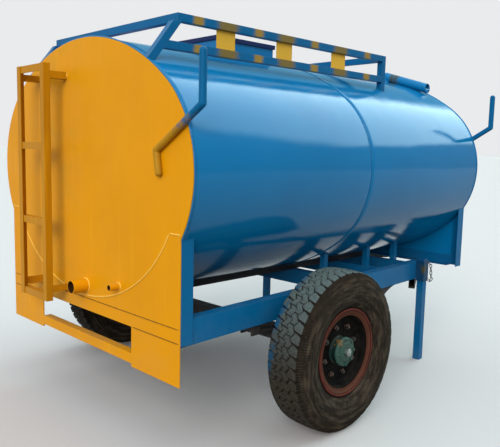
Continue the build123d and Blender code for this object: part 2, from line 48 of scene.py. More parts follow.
# camera at the photograph's angle
cameraSet = {
    "place": (-3.6273, -3.0174, 1.5475), "heading": 46.348, "down": 6.8244, "roll": 1.0608,
    "lens": 44.26, "shiftX": 0.0495, "shiftY": -0.0026,
}


def putCamera(look):
    # axes from the heading about Z, the dip below the horizon and the roll about the line of sight
    heading, down, roll = (np.radians(look[key]) for key in ("heading", "down", "roll"))
    ahead = np.array([np.cos(down) * np.cos(heading), np.cos(down) * np.sin(heading), -np.sin(down)])
    flatRight = np.array([np.sin(heading), -np.cos(heading), 0.0])
    flatUp = np.cross(flatRight, ahead)
    right = np.cos(roll) * flatRight + np.sin(roll) * flatUp
    up = np.cross(right, ahead)
    data = bpy.data.cameras.new("photoCamera")
    data.sensor_width = 36.0
    data.lens = look["lens"]
    data.shift_x = look["shiftX"]
    data.shift_y = look["shiftY"]
    data.clip_end = 1000.0
    camera = bpy.data.objects.new("photoCamera", data)
    matrix = Matrix.Identity(4)
    for row in range(3):
        matrix[row][:] = (right[row], up[row], -ahead[row], look["place"][row])
    camera.matrix_world = matrix
    scene.collection.objects.link(camera)
    scene.camera = camera


putCamera(cameraSet)
print("camera set")


# meshes from arrays
def gridPatch(points, wrapRows=False, wrapCols=False):
    # each face joins a grid point to the next along its row, along its column and across both
    rows, cols = points.shape[:2]
    index = np.arange(rows * cols).reshape(rows, cols)
    if wrapRows:
        index = np.vstack([index, index[:1]])
    if wrapCols:
        index = np.hstack([index, index[:, :1]])
    corners = (index[:-1, :-1], index[1:, :-1], index[1:, 1:], index[:-1, 1:])
    return points.reshape(-1, 3), np.stack(corners, axis=-1).reshape(-1, 4)


def evenSteps(low, high, count):
    # values at even steps, without the last
    return np.linspace(low, high, count, endpoint=False)


def fullTurn(count):
    return evenSteps(0, 2 * np.pi, count)


def unitRows(rows):
    return rows / np.maximum(np.linalg.norm(rows, axis=1, keepdims=True), 1e-9)


def placedCopies(patch, turns, places):
    # every copy is the patch turned by one 3 x 3 matrix and moved to one place
    points, faces = patch
    moved = np.einsum("nij,kj->nki", turns, points) + places[:, None, :]
    shift = np.arange(len(places))[:, None, None] * len(points)
    return moved.reshape(-1, 3), (faces[None] + shift).reshape(-1, 4)


def putPiece(name, patches, material, body, sharp):
    # one mesh from all patches, with doubles merged and the normals outwards
    points = np.concatenate([patch[0] for patch in patches])
    starts = np.cumsum([0] + [len(patch[0]) for patch in patches[:-1]])
    faces = np.concatenate([patch[1] + start for patch, start in zip(patches, starts)])
    mesh = bpy.data.meshes.new(name)
    mesh.from_pydata(points, [], faces.tolist())
    work = bmesh.new()
    work.from_mesh(mesh)
    bmesh.ops.remove_doubles(work, verts=work.verts, dist=2e-6)
    bmesh.ops.recalc_face_normals(work, faces=work.faces)
    work.to_mesh(mesh)
    work.free()
    mesh.polygons.foreach_set("use_smooth", np.ones(len(mesh.polygons), dtype=bool))
    mesh.set_sharp_from_angle(angle=np.radians(sharp))
    mesh.materials.append(material)
    piece = bpy.data.objects.new(name, mesh)
    scene.collection.objects.link(piece)
    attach(piece, body)
    return piece


def carriedRound(path, radius, guide, closed=False, sides=8):
    # point = path + radius * (cos a * side + sin a * up), with side across the path and the guide
    if closed:
        tangent = unitRows(np.roll(path, -1, axis=0) - np.roll(path, 1, axis=0))
    else:
        tangent = unitRows(np.gradient(path, axis=0))
    side = unitRows(np.cross(tangent, guide))
    up = np.cross(side, tangent)
    angle = fullTurn(sides)[None, :, None]
    size = np.broadcast_to(radius, len(path))[:, None, None]
    points = path[:, None, :] + size * (np.cos(angle) * side[:, None, :] + np.sin(angle) * up[:, None, :])
    return gridPatch(points, wrapRows=closed, wrapCols=True)


def lengthsAlong(points):
    # distance along a run of straight pieces at each of its points
    return np.concatenate([[0.0], np.cumsum(np.linalg.norm(np.diff(points, axis=0), axis=1))])


def softLine(points, samples, passes):
    # a run of straight pieces, sampled evenly along its length and rounded by averaging neighbours
    points = np.asarray(points, dtype=float)
    along = lengthsAlong(points)
    wanted = np.linspace(0, along[-1], samples)
    line = np.stack([np.interp(wanted, along, column) for column in points.T], axis=1)
    for _ in range(passes):
        line[1:-1] = 0.25 * line[:-2] + 0.5 * line[1:-1] + 0.25 * line[2:]
    return line


# material building blocks, all on Object coordinates
def startFinish(name):
    material = bpy.data.materials.new(name)
    material.use_nodes = True
    tree = material.node_tree
    tree.nodes.clear()
    out = tree.nodes.new("ShaderNodeOutputMaterial")
    skin = tree.nodes.new("ShaderNodeBsdfPrincipled")
    tree.links.new(skin.outputs["BSDF"], out.inputs["Surface"])
    return material, tree, skin


def noiseAt(tree, place, scale, detail, rough):
    noise = tree.nodes.new("ShaderNodeTexNoise")
    for key, number in (("Scale", scale), ("Detail", detail), ("Roughness", rough)):
        noise.inputs[key].default_value = number
    tree.links.new(place, noise.inputs["Vector"])
    return noise.outputs["Fac"]


def spots(tree, scale, detail=4.0, rough=0.55, stretch=(1.0, 1.0, 1.0), shift=(0.0, 0.0, 0.0)):
    coords = tree.nodes.new("ShaderNodeTexCoord")
    mapping = tree.nodes.new("ShaderNodeMapping")
    mapping.inputs["Scale"].default_value = stretch
    mapping.inputs["Location"].default_value = shift
    tree.links.new(coords.outputs["Object"], mapping.inputs["Vector"])
    return noiseAt(tree, mapping.outputs["Vector"], scale, detail, rough)


def span(tree, value, low, high, toLow=0.0, toHigh=1.0):
    # a smooth step from toLow at low to toHigh at high
    node = tree.nodes.new("ShaderNodeMapRange")
    node.interpolation_type = "SMOOTHSTEP"
    for key, number in zip(("From Min", "From Max", "To Min", "To Max"), (low, high, toLow, toHigh)):
        node.inputs[key].default_value = number
    tree.links.new(value, node.inputs["Value"])
    return node.outputs["Result"]


def reckon(tree, kind, first, second=None):
    # one sum on sockets and numbers
    node = tree.nodes.new("ShaderNodeMath")
    node.operation = kind
    for socket, value in zip(node.inputs, (first, second)):
        if value is None:
            continue
        if isinstance(value, (int, float)):
            socket.default_value = value
        else:
            tree.links.new(value, socket)
    return node.outputs["Value"]


def times(tree, first, *others):
    # product of sockets and numbers
    for other in others:
        first = reckon(tree, "MULTIPLY", first, other)
    return first


def mixed(tree, amount, first, second):
    # sockets 6 and 7 take the two colours and 2 gives the result
    node = tree.nodes.new("ShaderNodeMix")
    node.data_type = "RGBA"
    tree.links.new(amount, node.inputs["Factor"])
    for socket, value in ((node.inputs[6], first), (node.inputs[7], second)):
        if isinstance(value, tuple):
            socket.default_value = value + (1.0,)
        else:
            tree.links.new(value, socket)
    return node.outputs[2]


def layered(tree, color, *layers):
    # a colour with tints over it, each given with its mask
    for mask, tint in layers:
        color = mixed(tree, mask, color, tint)
    return color


def axisValue(tree, axis, kind="ShaderNodeTexCoord", output="Object"):
    # one part of a place or direction
    source = tree.nodes.new(kind)
    split = tree.nodes.new("ShaderNodeSeparateXYZ")
    tree.links.new(source.outputs[output], split.inputs["Vector"])
    return split.outputs[axis]


def bevelNormal(tree, reach, samples):
    bevel = tree.nodes.new("ShaderNodeBevel")
    bevel.samples = samples
    bevel.inputs["Radius"].default_value = reach
    return bevel.outputs["Normal"]


def edgeMask(tree, reach):
    # 1 where the rounded normal leaves the true one, which is along the edges
    geometry = tree.nodes.new("ShaderNodeNewGeometry")
    dot = tree.nodes.new("ShaderNodeVectorMath")
    dot.operation = "DOT_PRODUCT"
    tree.links.new(bevelNormal(tree, reach, 6), dot.inputs[0])
    tree.links.new(geometry.outputs["Normal"], dot.inputs[1])
    return span(tree, dot.outputs["Value"], 0.995, 0.90)


def addBump(tree, skin, heights, rounding=0.0):
    # heights: pairs of a height socket and its depth in metres; rounding softens the look of sharp edges
    normal = bevelNormal(tree, rounding, 4) if rounding > 0 else None
    for height, depth in heights:
        node = tree.nodes.new("ShaderNodeBump")
        node.inputs["Strength"].default_value = 1.0
        node.inputs["Distance"].default_value = depth
        tree.links.new(height, node.inputs["Height"])
        if normal is not None:
            tree.links.new(normal, node.inputs["Normal"])
        normal = node.outputs["Normal"]
    tree.links.new(normal, skin.inputs["Normal"])


def paintColor(tree, look):
    # base colour with broad blotches, streaks that run down and fine specks
    blotch = span(tree, spots(tree, look["blotchScale"], 3.0), 0.40, 0.70, 0.0, look["blotch"])
    streak = span(tree, spots(tree, 1.0, 3.0, 0.6, (26.0, 26.0, 1.2)), 0.55, 0.78, 0.0, look["streak"])
    speck = span(tree, spots(tree, 190.0, 2.0), 0.66, 0.74, 0.0, look["speck"])
    return layered(
        tree, look["color"], (blotch, look["shade"]), (streak, look["streakColor"]), (speck, look["dust"]),
    )


def dustLayer(tree, color, look):
    # dust lies on faces that look up and gathers low on the trailer
    upward = axisValue(tree, "Z", "ShaderNodeNewGeometry", "Normal")
    up = span(tree, upward, 0.35, 0.95, 0.0, look["dustTop"])
    low = span(tree, axisValue(tree, "Z"), look["dustHigh"], look["dustLow"], 0.0, look["dustFoot"])
    patchy = span(tree, spots(tree, 7.0, 6.0, 0.65), 0.35, 0.72)
    amount = times(tree, reckon(tree, "MAXIMUM", up, low), patchy)
    return mixed(tree, amount, color, look["dust"]), amount


def wearLayer(tree, color, look):
    # chipped paint along the edges
    chips = span(tree, spots(tree, 55.0, 5.0, 0.7), 0.50, 0.62)
    worn = times(tree, edgeMask(tree, look["wearReach"]), chips, look["wear"])
    return mixed(tree, worn, color, look["wearColor"])


def closeFinish(tree, skin, color, dusty, look):
    # colour, roughness that dust raises, shine, and the bump of waves and orange peel
    tree.links.new(color, skin.inputs["Base Color"])
    low = look["rough"] - look["roughSwing"]
    ripple = span(tree, spots(tree, 5.0, 3.0), 0.3, 0.7, low, look["rough"] + look["roughSwing"])
    rough = reckon(tree, "ADD", ripple, times(tree, dusty, 0.35))
    tree.links.new(rough, skin.inputs["Roughness"])
    skin.inputs["Specular IOR Level"].default_value = look["shine"]
    addBump(tree, skin, (
        (spots(tree, look["waveScale"], 2.0), look["wave"]),
        (spots(tree, 420.0, 2.0), look["peel"]),
    ), look["rounding"])


paintBase = {
    "blotch": 0.5, "blotchScale": 1.6, "streak": 0.25, "speck": 0.35, "dust": (0.30, 0.24, 0.17),
    "dustTop": 0.22, "dustHigh": 0.9, "dustLow": 0.35, "dustFoot": 0.35, "wear": 0.55, "wearReach": 0.004,
    "wearColor": (0.10, 0.06, 0.04), "rough": 0.34, "roughSwing": 0.06, "shine": 0.13,
    "waveScale": 3.0, "wave": 0.004, "peel": 0.00012, "rounding": 0.003,
}
tankBlueLook = dict(paintBase, color=(0.001, 0.146, 0.335), shade=(0.001, 0.120, 0.282),
                    streakColor=(0.002, 0.164, 0.366), rough=0.050, roughSwing=0.02, shine=0.20, speck=0.08,
                    dustTop=0.04, dustFoot=0.05, wear=0.25, waveScale=2.2)
frameBlueLook = dict(paintBase, color=(0.001, 0.104, 0.244), shade=(0.001, 0.072, 0.180),
                     streakColor=(0.003, 0.126, 0.280), shine=0.10, speck=0.12, dustTop=0.10, dustFoot=0.08)
yellowLook = dict(paintBase, color=(0.705, 0.285, 0.002), shade=(0.600, 0.236, 0.002),
                  streakColor=(0.760, 0.360, 0.006), rough=0.36, streak=0.35, speck=0.15, dustTop=0.14,
                  dustFoot=0.10, wear=0.35, wave=0.003, shine=0.08)
weldLook = dict(yellowLook, color=(0.820, 0.470, 0.070), shade=(0.740, 0.400, 0.050), wear=0.1)
# painted shade: a dark brown yellow for the gaps along the skirt strip's seams
seamGapShadeLook = dict(yellowLook, color=(0.250, 0.105, 0.004), shade=(0.180, 0.075, 0.004), wear=0.1)
rackPlateLook = dict(yellowLook, color=(0.640, 0.360, 0.036), shade=(0.540, 0.300, 0.030))
ladderLook = dict(yellowLook, color=(0.470, 0.195, 0.003), shade=(0.360, 0.150, 0.004))
legLook = dict(frameBlueLook, color=(0.003, 0.060, 0.170))
# painted shade: the leg sleeves' blue is darker than the frame's, for the shadow of the front plate
sleeveShadedLook = dict(frameBlueLook, color=(0.003, 0.040, 0.098), shade=(0.003, 0.022, 0.055))
rimLook = dict(paintBase, rough=0.62, shine=0.03, dustTop=0.05, dustFoot=0.03, wave=0.0015)
# painted shade: the hook's yellow darkened to brown, with dark brown blotches
hookShadedLook = dict(yellowLook, color=(0.420, 0.200, 0.008), shade=(0.240, 0.130, 0.016), blotchScale=6.0)
navyLook = dict(paintBase, color=(0.006, 0.020, 0.085), shade=(0.004, 0.012, 0.050),
                streakColor=(0.010, 0.035, 0.120), rough=0.36)
darkLook = dict(paintBase, color=(0.016, 0.017, 0.020), shade=(0.030, 0.026, 0.024),
                streakColor=(0.045, 0.036, 0.028), rough=0.50, dustTop=0.40, dustFoot=0.25,
                dustHigh=0.75, dustLow=0.30, wear=0.4, wearColor=(0.14, 0.07, 0.04))
greenLook = dict(paintBase, color=(0.018, 0.060, 0.046), shade=(0.009, 0.032, 0.025),
                 streakColor=(0.028, 0.074, 0.058), rough=0.42, blotchScale=14.0, dustTop=0.10, dustFoot=0.08,
                 wear=0.7, wearColor=(0.22, 0.24, 0.20))


def paintFinish(name, look, *layers):
    # paint, then layers that are each a mask function with its settings, then dust, wear and gloss
    material, tree, skin = startFinish(name)
    color = paintColor(tree, look)
    for maskOf, layer in layers:
        tint = paintColor(tree, layer["look"]) if "look" in layer else layer["color"]
        color = mixed(tree, maskOf(tree, layer), color, tint)
    color, dusty = dustLayer(tree, color, look)
    color = wearLayer(tree, color, look)
    closeFinish(tree, skin, color, dusty, look)
    return material


ladderClouds = {"ladderY": 0.31, "reach": (0.42, 0.05), "cover": 0.32, "color": (0.40, 0.25, 0.02)}
rackOverspray = {
    "places": (-1.326, -0.857, -0.333), "half": 0.068, "soft": 0.060, "cover": 0.88,
    "color": (0.20, 0.125, 0.006),
}
rackBands = {
    "places": (-1.531, -1.092, -0.597, -0.037), "half": 0.033, "soft": 0.034, "cover": 0.88,
    "color": (0.33, 0.185, 0.005),
}
hookTop = {"look": frameBlueLook, "at": (1.62, 1.70)}
legTop = {"look": legLook, "at": (0.56, 0.64)}
sleevePatch = {
    "center": {"X": 0.508, "Y": 0.805, "Z": 0.695}, "outer": 0.0391, "inner": 0.0238, "cover": 0.85,
    "color": (0.060, 0.055, 0.012),
}
overflowPatch = {
    "center": {"X": 0.915, "Y": 0.245, "Z": 2.134}, "outer": 0.0644, "inner": 0.0392, "cover": 0.85,
    "color": (0.050, 0.050, 0.010),
}
# each stub's colour is painted shade on its bore, for the dark inside of the pipe
outletStub = {"Y": -0.034, "Z": 0.774, "bore": 0.0330, "outside": 0.0385, "color": (0.045, 0.018, 0.005)}
drainStub = {"Y": -0.359, "Z": 0.823, "bore": 0.0135, "outside": 0.0185, "color": (0.045, 0.018, 0.005)}


def cloudMask(tree, layer):
    # clouds that fade away from the ladder
    away = reckon(tree, "ABSOLUTE", reckon(tree, "SUBTRACT", axisValue(tree, "Y"), layer["ladderY"]))
    cloud = span(tree, spots(tree, 4.5, 4.0), 0.42, 0.68, 0.0, layer["cover"])
    return times(tree, span(tree, away, *layer["reach"]), cloud)


def bandMask(tree, layer):
    # brushed bands at places along X
    uneven = span(tree, spots(tree, 40.0, 3.0), 0.3, 0.7, -0.006, 0.006)
    along = reckon(tree, "ADD", axisValue(tree, "X"), uneven)
    mask = 0.0
    for place in layer["places"]:
        away = reckon(tree, "ABSOLUTE", reckon(tree, "SUBTRACT", along, place))
        band = span(tree, away, layer["half"] + layer["soft"] / 2, layer["half"] - layer["soft"] / 2)
        mask = reckon(tree, "MAXIMUM", mask, band)
    return times(tree, mask, layer["cover"])


def heightMask(tree, layer):
    # 1 above a brushed edge
    uneven = span(tree, spots(tree, 30.0, 3.0), 0.3, 0.7, -0.02, 0.02)
    return span(tree, reckon(tree, "ADD", axisValue(tree, "Z"), uneven), *layer["at"])


def distanceFrom(tree, center, bothSides=False):
    # root of the summed squares over the axes in center: from a place, or from a line along a missing axis
    square = 0.0
    for axis, middle in center.items():
        value = axisValue(tree, axis)
        if bothSides and axis == "Y":
            value = reckon(tree, "ABSOLUTE", value)
        term = reckon(tree, "POWER", reckon(tree, "SUBTRACT", value, middle), 2.0)
        square = reckon(tree, "ADD", square, term)
    return reckon(tree, "SQRT", square)


def patchMask(tree, layer):
    # 1 near a place, the same on both sides of the trailer, with an uneven edge
    uneven = span(tree, spots(tree, 28.0, 4.0), 0.3, 0.7, -0.02, 0.02)
    away = reckon(tree, "ADD", distanceFrom(tree, layer["center"], True), uneven)
    return span(tree, away, layer["outer"], layer["inner"], 0.0, layer["cover"])


def boreShadeMask(tree, stub):
    # 1 on the bore of a pipe along X, where the colour is painted shade for the dark inside of the pipe
    radius = distanceFrom(tree, {"Y": stub["Y"], "Z": stub["Z"]})
    return span(tree, radius, stub["bore"] + 0.0015, stub["bore"] + 0.0005)


wheelSet = {"x": -0.879, "z": 0.45, "mid": 1.033}
rimColors = {
    "red": (0.118, 0.028, 0.019), "redShade": (0.070, 0.020, 0.015), "rust": (0.11, 0.070, 0.045),
    "slope": (0.082, 0.034, 0.020), "slopeAt": (0.2325, 0.2290),
    # line: painted shade, a dark ring for the groove between the lip and the slope
    "line": (0.016, 0.008, 0.007), "grooveShadeAt": 0.2305, "grooveShadeEdge": (0.0032, 0.0012),
    "recess": (0.0022, 0.0023, 0.0022), "recessPale": (0.006, 0.0055, 0.005), "redFrom": (0.2020, 0.2060),
}
rubberLook = {
    "dark": (0.0125, 0.0096, 0.0070), "pale": (0.0210, 0.0156, 0.0108), "wall": (0.436, 0.405),
    "dirt": (0.070, 0.053, 0.036), "dirtCover": 0.90, "streak": (0.082, 0.058, 0.037),
    # block tops: brown dust low on the wheel, a pale painted highlight high on it
    "tops": (0.4385, 0.4430), "topLow": (0.040, 0.035, 0.027), "topPaintedHighlight": (0.092, 0.120, 0.116),
    "paintedLightRise": (0.36, 0.84), "spray": (0.004, 0.070, 0.150), "sprayInner": (-0.045, -0.068),
    "sprayRadius": (0.430, 0.4425), "sprayBehind": (-0.10, -0.25), "sprayRise": (0.34, 0.46),
    "fleck": (0.080, 0.064, 0.046), "rimShade": (0.004, 0.0035, 0.003), "rimShadeAt": (0.258, 0.249),
}
# painted shade: the hub barrel deep in the wheel is a near-black green
hubBarrelShade = {"at": (0.064, 0.056), "cover": 1.0, "color": (0.0035, 0.0150, 0.0118)}
# painted highlight: a paler green ring on the outer edge of the hub cap
capEdgeHighlight = {"at": (0.0745, 0.0785), "cover": 0.6, "color": (0.040, 0.105, 0.088)}
hubSpot = {
    "center": {"X": -0.919, "Y": 1.101, "Z": 0.520}, "outer": 0.030, "inner": 0.016, "cover": 0.7,
    "color": (0.150, 0.085, 0.026),
}


def wheelRadius(tree):
    # distance from the axle line, across X and Z
    return distanceFrom(tree, {"X": wheelSet["x"], "Z": wheelSet["z"]})


def wheelOffset(tree):
    # distance outwards from the wheel's middle plane
    return reckon(tree, "SUBTRACT", reckon(tree, "ABSOLUTE", axisValue(tree, "Y")), wheelSet["mid"])


def radiusMask(tree, layer):
    return span(tree, wheelRadius(tree), *layer["at"], 0.0, layer["cover"])


def offsetMask(tree, layer):
    return span(tree, wheelOffset(tree), *layer["at"], 0.0, layer["cover"])


def rimFinish(look, colors):
    # red oxide on the outer lip, a dark line below it as painted shade in the groove, a browner slope, nearly
    # black inside
    material, tree, skin = startFinish("rimRedOxide")
    radius = wheelRadius(tree)
    cloud = span(tree, spots(tree, 16.0, 5.0), 0.38, 0.66)
    rust = span(tree, spots(tree, 70.0, 5.0, 0.7), 0.58, 0.70, 0.0, 0.6)
    slope = span(tree, radius, *colors["slopeAt"], 0.0, 0.75)
    fromGrooveShade = reckon(tree, "ABSOLUTE", reckon(tree, "SUBTRACT", radius, colors["grooveShadeAt"]))
    # painted shade in the groove below the lip
    line = span(tree, fromGrooveShade, *colors["grooveShadeEdge"], 0.0, 0.85)
    red = layered(
        tree, colors["red"], (cloud, colors["redShade"]), (rust, colors["rust"]), (slope, colors["slope"]),
        (line, colors["line"]),
    )
    dark = mixed(tree, cloud, colors["recess"], colors["recessPale"])
    color = mixed(tree, span(tree, radius, *colors["redFrom"]), dark, red)
    color, dusty = dustLayer(tree, color, look)
    closeFinish(tree, skin, color, dusty, look)
    return material


def roundStreaks(tree, scale, across, detail):
    # noise on the direction from the axle and, much finer, on the radius, so that streaks run round the wheel
    radius = wheelRadius(tree)
    place = tree.nodes.new("ShaderNodeCombineXYZ")
    for axis in ("X", "Z"):
        away = reckon(tree, "SUBTRACT", axisValue(tree, axis), wheelSet[axis.lower()])
        tree.links.new(reckon(tree, "DIVIDE", away, radius), place.inputs[axis])
    tree.links.new(times(tree, radius, across), place.inputs["Y"])
    return noiseAt(tree, place.outputs["Vector"], scale, detail, 0.65)


def sprayMask(tree, look):
    # blue overspray on the inner blocks of the rear half
    inner = span(tree, wheelOffset(tree), *look["sprayInner"])
    outside = span(tree, wheelRadius(tree), *look["sprayRadius"])
    patchy = span(tree, spots(tree, 14.0, 4.0), 0.42, 0.58, 0.0, 0.9)
    fromAxle = reckon(tree, "SUBTRACT", axisValue(tree, "X"), wheelSet["x"])
    behind = span(tree, fromAxle, *look["sprayBehind"])
    return times(tree, inner, outside, patchy, behind, span(tree, axisValue(tree, "Z"), *look["sprayRise"]))


def tyreFinish(look):
    # dark rubber, brown dust round the side wall, painted light on the upper block tops, blue overspray,
    # shade at the rim
    material, tree, skin = startFinish("tyreRubber")
    radius = wheelRadius(tree)
    cloud = span(tree, spots(tree, 9.0, 6.0, 0.62), 0.34, 0.66)
    dirt = span(tree, roundStreaks(tree, 3.2, 14.0, 7.0), 0.42, 0.70)
    wall = span(tree, radius, *look["wall"])
    streaky = span(tree, spots(tree, 46.0, 6.0, 0.7, shift=(1.0, 4.0, 2.0)), 0.56, 0.72, 0.0, 0.55)
    tops = span(tree, radius, *look["tops"])
    scuff = span(tree, spots(tree, 110.0, 4.0), 0.34, 0.60, 0.6, 1.0)
    # painted light: block tops paler the higher they sit on the wheel, as if lit from above
    paintedTopLight = span(tree, axisValue(tree, "Z"), *look["paintedLightRise"])
    fleck = span(tree, spots(tree, 60.0, 6.0, 0.75), 0.66, 0.78, 0.0, 0.4)
    color = layered(
        tree, look["dark"], (cloud, look["pale"]),
        (times(tree, dirt, wall, look["dirtCover"]), look["dirt"]),
        (times(tree, streaky, wall), look["streak"]),
        (times(tree, tops, scuff), mixed(tree, paintedTopLight, look["topLow"], look["topPaintedHighlight"])),
        (sprayMask(tree, look), look["spray"]), (fleck, look["fleck"]),
        (span(tree, radius, *look["rimShadeAt"], 0.0, 0.85), look["rimShade"]),
    )
    tree.links.new(color, skin.inputs["Base Color"])
    tree.links.new(span(tree, cloud, 0.0, 1.0, 0.62, 0.85), skin.inputs["Roughness"])
    skin.inputs["Specular IOR Level"].default_value = 0.05
    addBump(tree, skin, ((spots(tree, 90.0, 5.0), 0.0012), (spots(tree, 600.0, 2.0), 0.0002)))
    return material


def steelFinish(name, color, rust):
    # bare steel, clouded darker, with rust that dulls it
    material, tree, skin = startFinish(name)
    darker = tuple(0.55 * part for part in color)
    shade = mixed(tree, span(tree, spots(tree, 45.0, 5.0), 0.35, 0.7), color, darker)
    rusty = span(tree, spots(tree, 30.0, 6.0, 0.7, shift=(2.0, 7.0, 1.0)), 0.48, 0.64, 0.0, rust)
    tree.links.new(mixed(tree, rusty, shade, (0.15, 0.065, 0.03)), skin.inputs["Base Color"])
    tree.links.new(span(tree, rusty, 0.0, 1.0, 0.36, 0.85), skin.inputs["Roughness"])
    tree.links.new(span(tree, rusty, 0.0, 1.0, 0.9, 0.1), skin.inputs["Metallic"])
    addBump(tree, skin, ((spots(tree, 160.0, 4.0), 0.0005),))
    return material


tankBlue = paintFinish("tankBlue", tankBlueLook)
frameBlue = paintFinish("frameBlue", frameBlueLook)
yellow = paintFinish("safetyYellow", yellowLook)
ladderYellow = paintFinish("ladderYellow", ladderLook)
rearYellow = paintFinish("rearPlateYellow", yellowLook, (cloudMask, ladderClouds))
rackYellow = paintFinish("rackYellow", rackPlateLook)
# outlet and drain stubs: yellow with painted shade on the bore
outletYellow = paintFinish("outletYellow", yellowLook, (boreShadeMask, outletStub))
drainYellow = paintFinish("drainYellow", yellowLook, (boreShadeMask, drainStub))
weldYellow = paintFinish("weldYellow", weldLook)
seamGapShade = paintFinish("seamGapShade", seamGapShadeLook)
navy = paintFinish("lidNavy", navyLook)
darkPaint = paintFinish("runningGearBlack", darkLook)
# the barrel's near-black green is painted shade deep in the wheel
# the cap's paler outer edge is a painted highlight
hubGreen = paintFinish(
    "hubGreen", greenLook, (radiusMask, capEdgeHighlight), (offsetMask, hubBarrelShade), (patchMask, hubSpot),
)
rackPaint = paintFinish("rackBlueYellow", frameBlueLook, (bandMask, rackOverspray), (bandMask, rackBands))
# rear hook: yellow darkened as painted shade below the blue top
hookPaint = paintFinish("rearHookPaint", hookShadedLook, (heightMask, hookTop))
legPaint = paintFinish("legPaint", frameBlueLook, (heightMask, legTop))
# leg sleeves: darker blue as painted shade, with an olive patch
sleevePaint = paintFinish("sleevePaint", sleeveShadedLook, (patchMask, sleevePatch))
overflowPaint = paintFinish("overflowPaint", tankBlueLook, (patchMask, overflowPatch))
rimRed = rimFinish(rimLook, rimColors)
rubber = tyreFinish(rubberLook)
pinSteel = steelFinish("pinSteel", (0.42, 0.41, 0.39), 0.7)
nutSteel = steelFinish("nutSteel", (0.050, 0.046, 0.042), 0.9)
chainSteel = steelFinish("chainSteel", (0.12, 0.12, 0.125), 0.5)
hubSteel = steelFinish("hubSteel", (0.30, 0.34, 0.31), 0.4)
print("materials made")

nodeFinish = {
    tankBlue: ("front_end_plate", "hatch_neck"),
    overflowPaint: ("overflow_pipe",),
    sleevePaint: ("leg_sleeves",),
    frameBlue: (
        "rear_corner_posts", "front_corner_posts", "front_bottom_angle", "chassis_rail_left",
        "chassis_rail_right", "cross_members", "tank_supports", "hose_hook_front",
    ),
    legPaint: ("leg_left", "leg_right"),
    rackPaint: ("rack_top_rails", "rack_cross_bars", "rack_low_rails", "rack_posts"),
    rearYellow: ("rear_end_plate", "rear_skirt_strip"),
    yellow: ("rear_corner_plates", "rear_skirt_bar"),
    outletYellow: ("outlet_pipe",),
    drainYellow: ("drain_pipe",),
    rackYellow: ("rack_plates",),
    ladderYellow: ("ladder_stiles", "ladder_rungs", "ladder_brackets"),
    hookPaint: ("hose_hook_rear",),
    navy: ("hatch_lid", "hatch_hinges"),
    darkPaint: (
        "axle_beam", "leaf_spring_left", "leaf_spring_right", "spring_hangers", "spring_clamps",
        # the tank bearers take this black as painted shade, for frame members in the tank's shadow
        "rail_gussets", "drawbar_arms", "tow_eye", "tank_bearers",
    ),
    pinSteel: ("leg_pins",),
}
for finish, names in nodeFinish.items():
    for nodeName in names:
        nodes[nodeName].material_slots[0].material = finish
print("node finishes set")


# tank skin in two courses: the oval carried along X, with the hatch mouth left open
tankSet = {
    "halfWidth": 0.948, "halfHeight": 0.699, "sideRadius": 0.568, "centerZ": 1.426, "wall": 0.005,
    "sideSteps": 64, "crownSteps": 30, "mouthSteps": 22, "bellySteps": 80, "wave": 0.0008,
}


def crownArc(tank):
    # radius of the crown's arc, which meets the side arcs tangentially, and how far its center lies below
    sideCenter = tank["halfWidth"] - tank["sideRadius"]
    crown = (sideCenter ** 2 + tank["halfHeight"] ** 2 - tank["sideRadius"] ** 2)
    crown = crown / (2 * (tank["halfHeight"] - tank["sideRadius"]))
    return sideCenter, crown, crown - tank["halfHeight"]


def crownHeight(y, tank):
    # height of the tank's top at each distance from the middle
    _, crown, drop = crownArc(tank)
    return tank["centerZ"] - drop + np.sqrt(crown ** 2 - y ** 2)


def ovalLoop(tank, mouthHalf, inset=0.0):
    # four tangent arcs: each point is an arc's center plus its radius times (cos, sin) of the angle
    sideCenter, crown, drop = crownArc(tank)
    turn = np.arctan2(drop, sideCenter)
    mouth = np.arcsin(mouthHalf / crown)
    quarter = np.pi / 2
    crownAngles = np.concatenate([
        evenSteps(turn, quarter - mouth, tank["crownSteps"]),
        evenSteps(quarter - mouth, quarter + mouth, tank["mouthSteps"]),
        evenSteps(quarter + mouth, np.pi - turn, tank["crownSteps"]),
    ])
    arcs = (
        (sideCenter, 0.0, tank["sideRadius"], evenSteps(-turn, turn, tank["sideSteps"])),
        (0.0, -drop, crown, crownAngles),
        (-sideCenter, 0.0, tank["sideRadius"], evenSteps(np.pi - turn, np.pi + turn, tank["sideSteps"])),
        (0.0, drop, crown, evenSteps(np.pi + turn, 2 * np.pi - turn, tank["bellySteps"])),
    )
    loop = np.concatenate([
        np.stack([cy + (r - inset) * np.cos(a), tank["centerZ"] + cz + (r - inset) * np.sin(a)], axis=1)
        for cy, cz, r, a in arcs
    ])
    normal = np.concatenate([np.stack([np.cos(a), np.sin(a)], axis=1) for _, _, _, a in arcs])
    return loop, normal


